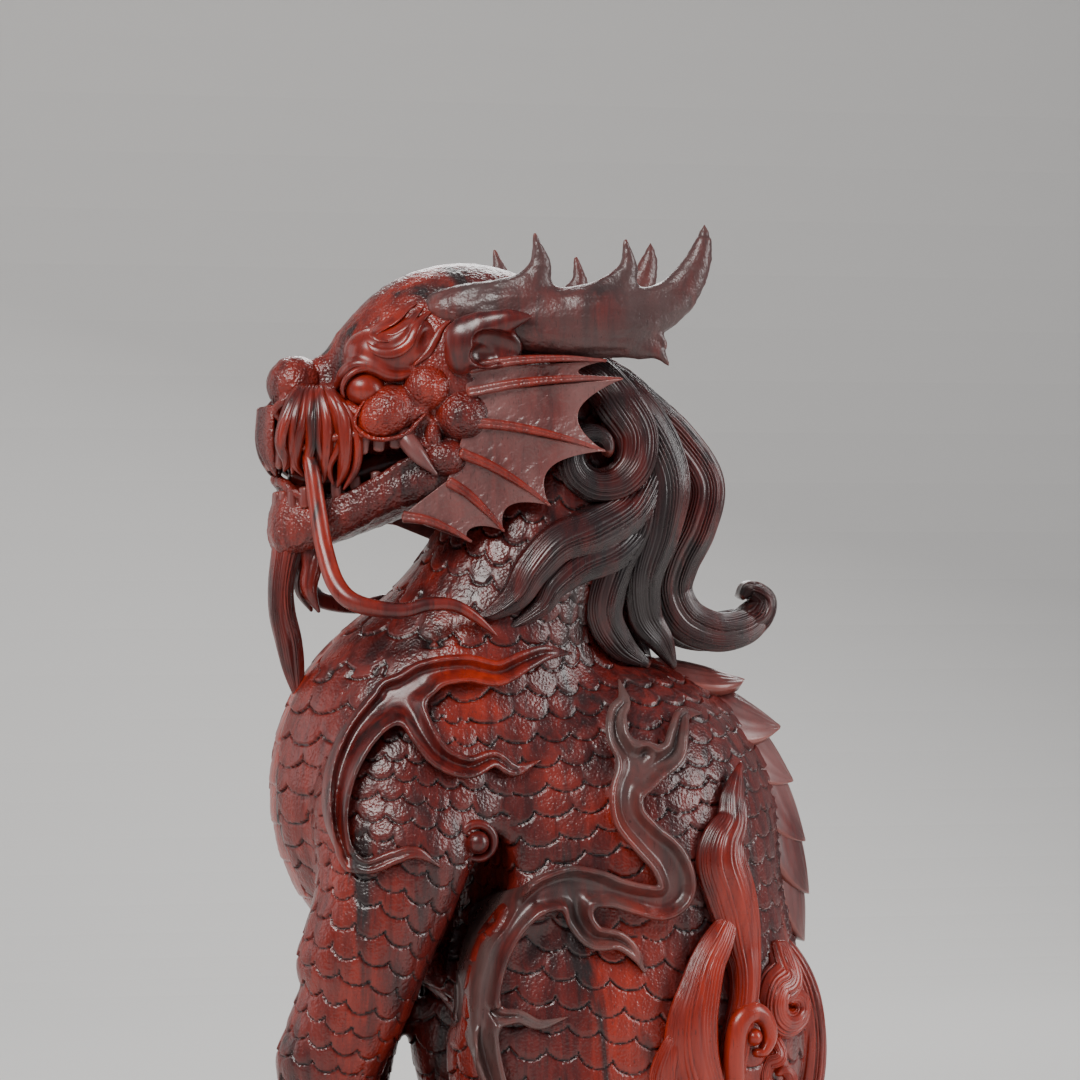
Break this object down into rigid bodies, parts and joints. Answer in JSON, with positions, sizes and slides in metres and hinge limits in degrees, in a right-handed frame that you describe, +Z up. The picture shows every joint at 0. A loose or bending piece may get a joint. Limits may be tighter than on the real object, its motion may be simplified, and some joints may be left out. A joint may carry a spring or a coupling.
{
  "type": "carved guardian beast statue",
  "caption": "Seated dragon-headed guardian beast carved in dark red rosewood, with swept-back antlers, webbed frill, flowing mane, scales and flame ribbons, on a rounded plinth",
  "frame": {"origin": "centre of the plinth's flat underside, on the surface it stands on", "axes": "+Z up; the beast looks along -X; its left side is -Y; the two sides match across the XZ plane, except for the tail, which lies on the left, and the right foreleg, which stands 14 mm further back"},
  "size_m": [0.198, 0.128, 0.2932],
  "materials": {
    "rosewood": "polished, waxed, red-brown rosewood with darker figure",
    "rosewood_dark": "polished, waxed, near-black streaked rosewood heartwood"
  },
  "bodies": {
    "root": {"plinth": "rosewood", "body": "rosewood", "chest_plates": "rosewood", "skull": "rosewood", "lower_jaw": "rosewood", "nose": "rosewood", "tongue": "rosewood", "upper_teeth": "rosewood", "lower_teeth": "rosewood", "fangs": "rosewood", "beard": "rosewood", "mane_core": "rosewood_dark", "mane_tail": "rosewood_dark", "dorsal_scutes": "rosewood", "tail": "rosewood", "foreleg_left": "rosewood", "foreleg_right": "rosewood", "haunch_left": "rosewood", "haunch_right": "rosewood", "hind_shank_left": "rosewood", "hind_shank_right": "rosewood", "forepaw_left": "rosewood", "forepaw_right": "rosewood", "foreclaws_left": "rosewood", "foreclaws_right": "rosewood", "hindpaw_left": "rosewood", "hindpaw_right": "rosewood", "hindclaws_left": "rosewood", "hindclaws_right": "rosewood", "eye_left": "rosewood", "eye_right": "rosewood", "cheek_left": "rosewood", "cheek_right": "rosewood", "brow_left": "rosewood", "brow_right": "rosewood", "ear_left": "rosewood", "ear_right": "rosewood", "antler_left": "rosewood_dark", "antler_right": "rosewood_dark", "moustache_left": "rosewood", "moustache_right": "rosewood", "whisker_left": "rosewood", "whisker_right": "rosewood", "mane_curl_left": "rosewood_dark", "mane_curl_right": "rosewood_dark", "mane_lock_left": "rosewood_dark", "mane_lock_right": "rosewood_dark", "mane_side_locks_left": "rosewood_dark", "mane_side_locks_right": "rosewood_dark", "frill_left": "rosewood", "frill_right": "rosewood", "shoulder_ribbon_left": "rosewood", "shoulder_ribbon_right": "rosewood", "haunch_ribbon_left": "rosewood", "haunch_ribbon_right": "rosewood"}
  },
  "joints": []
}
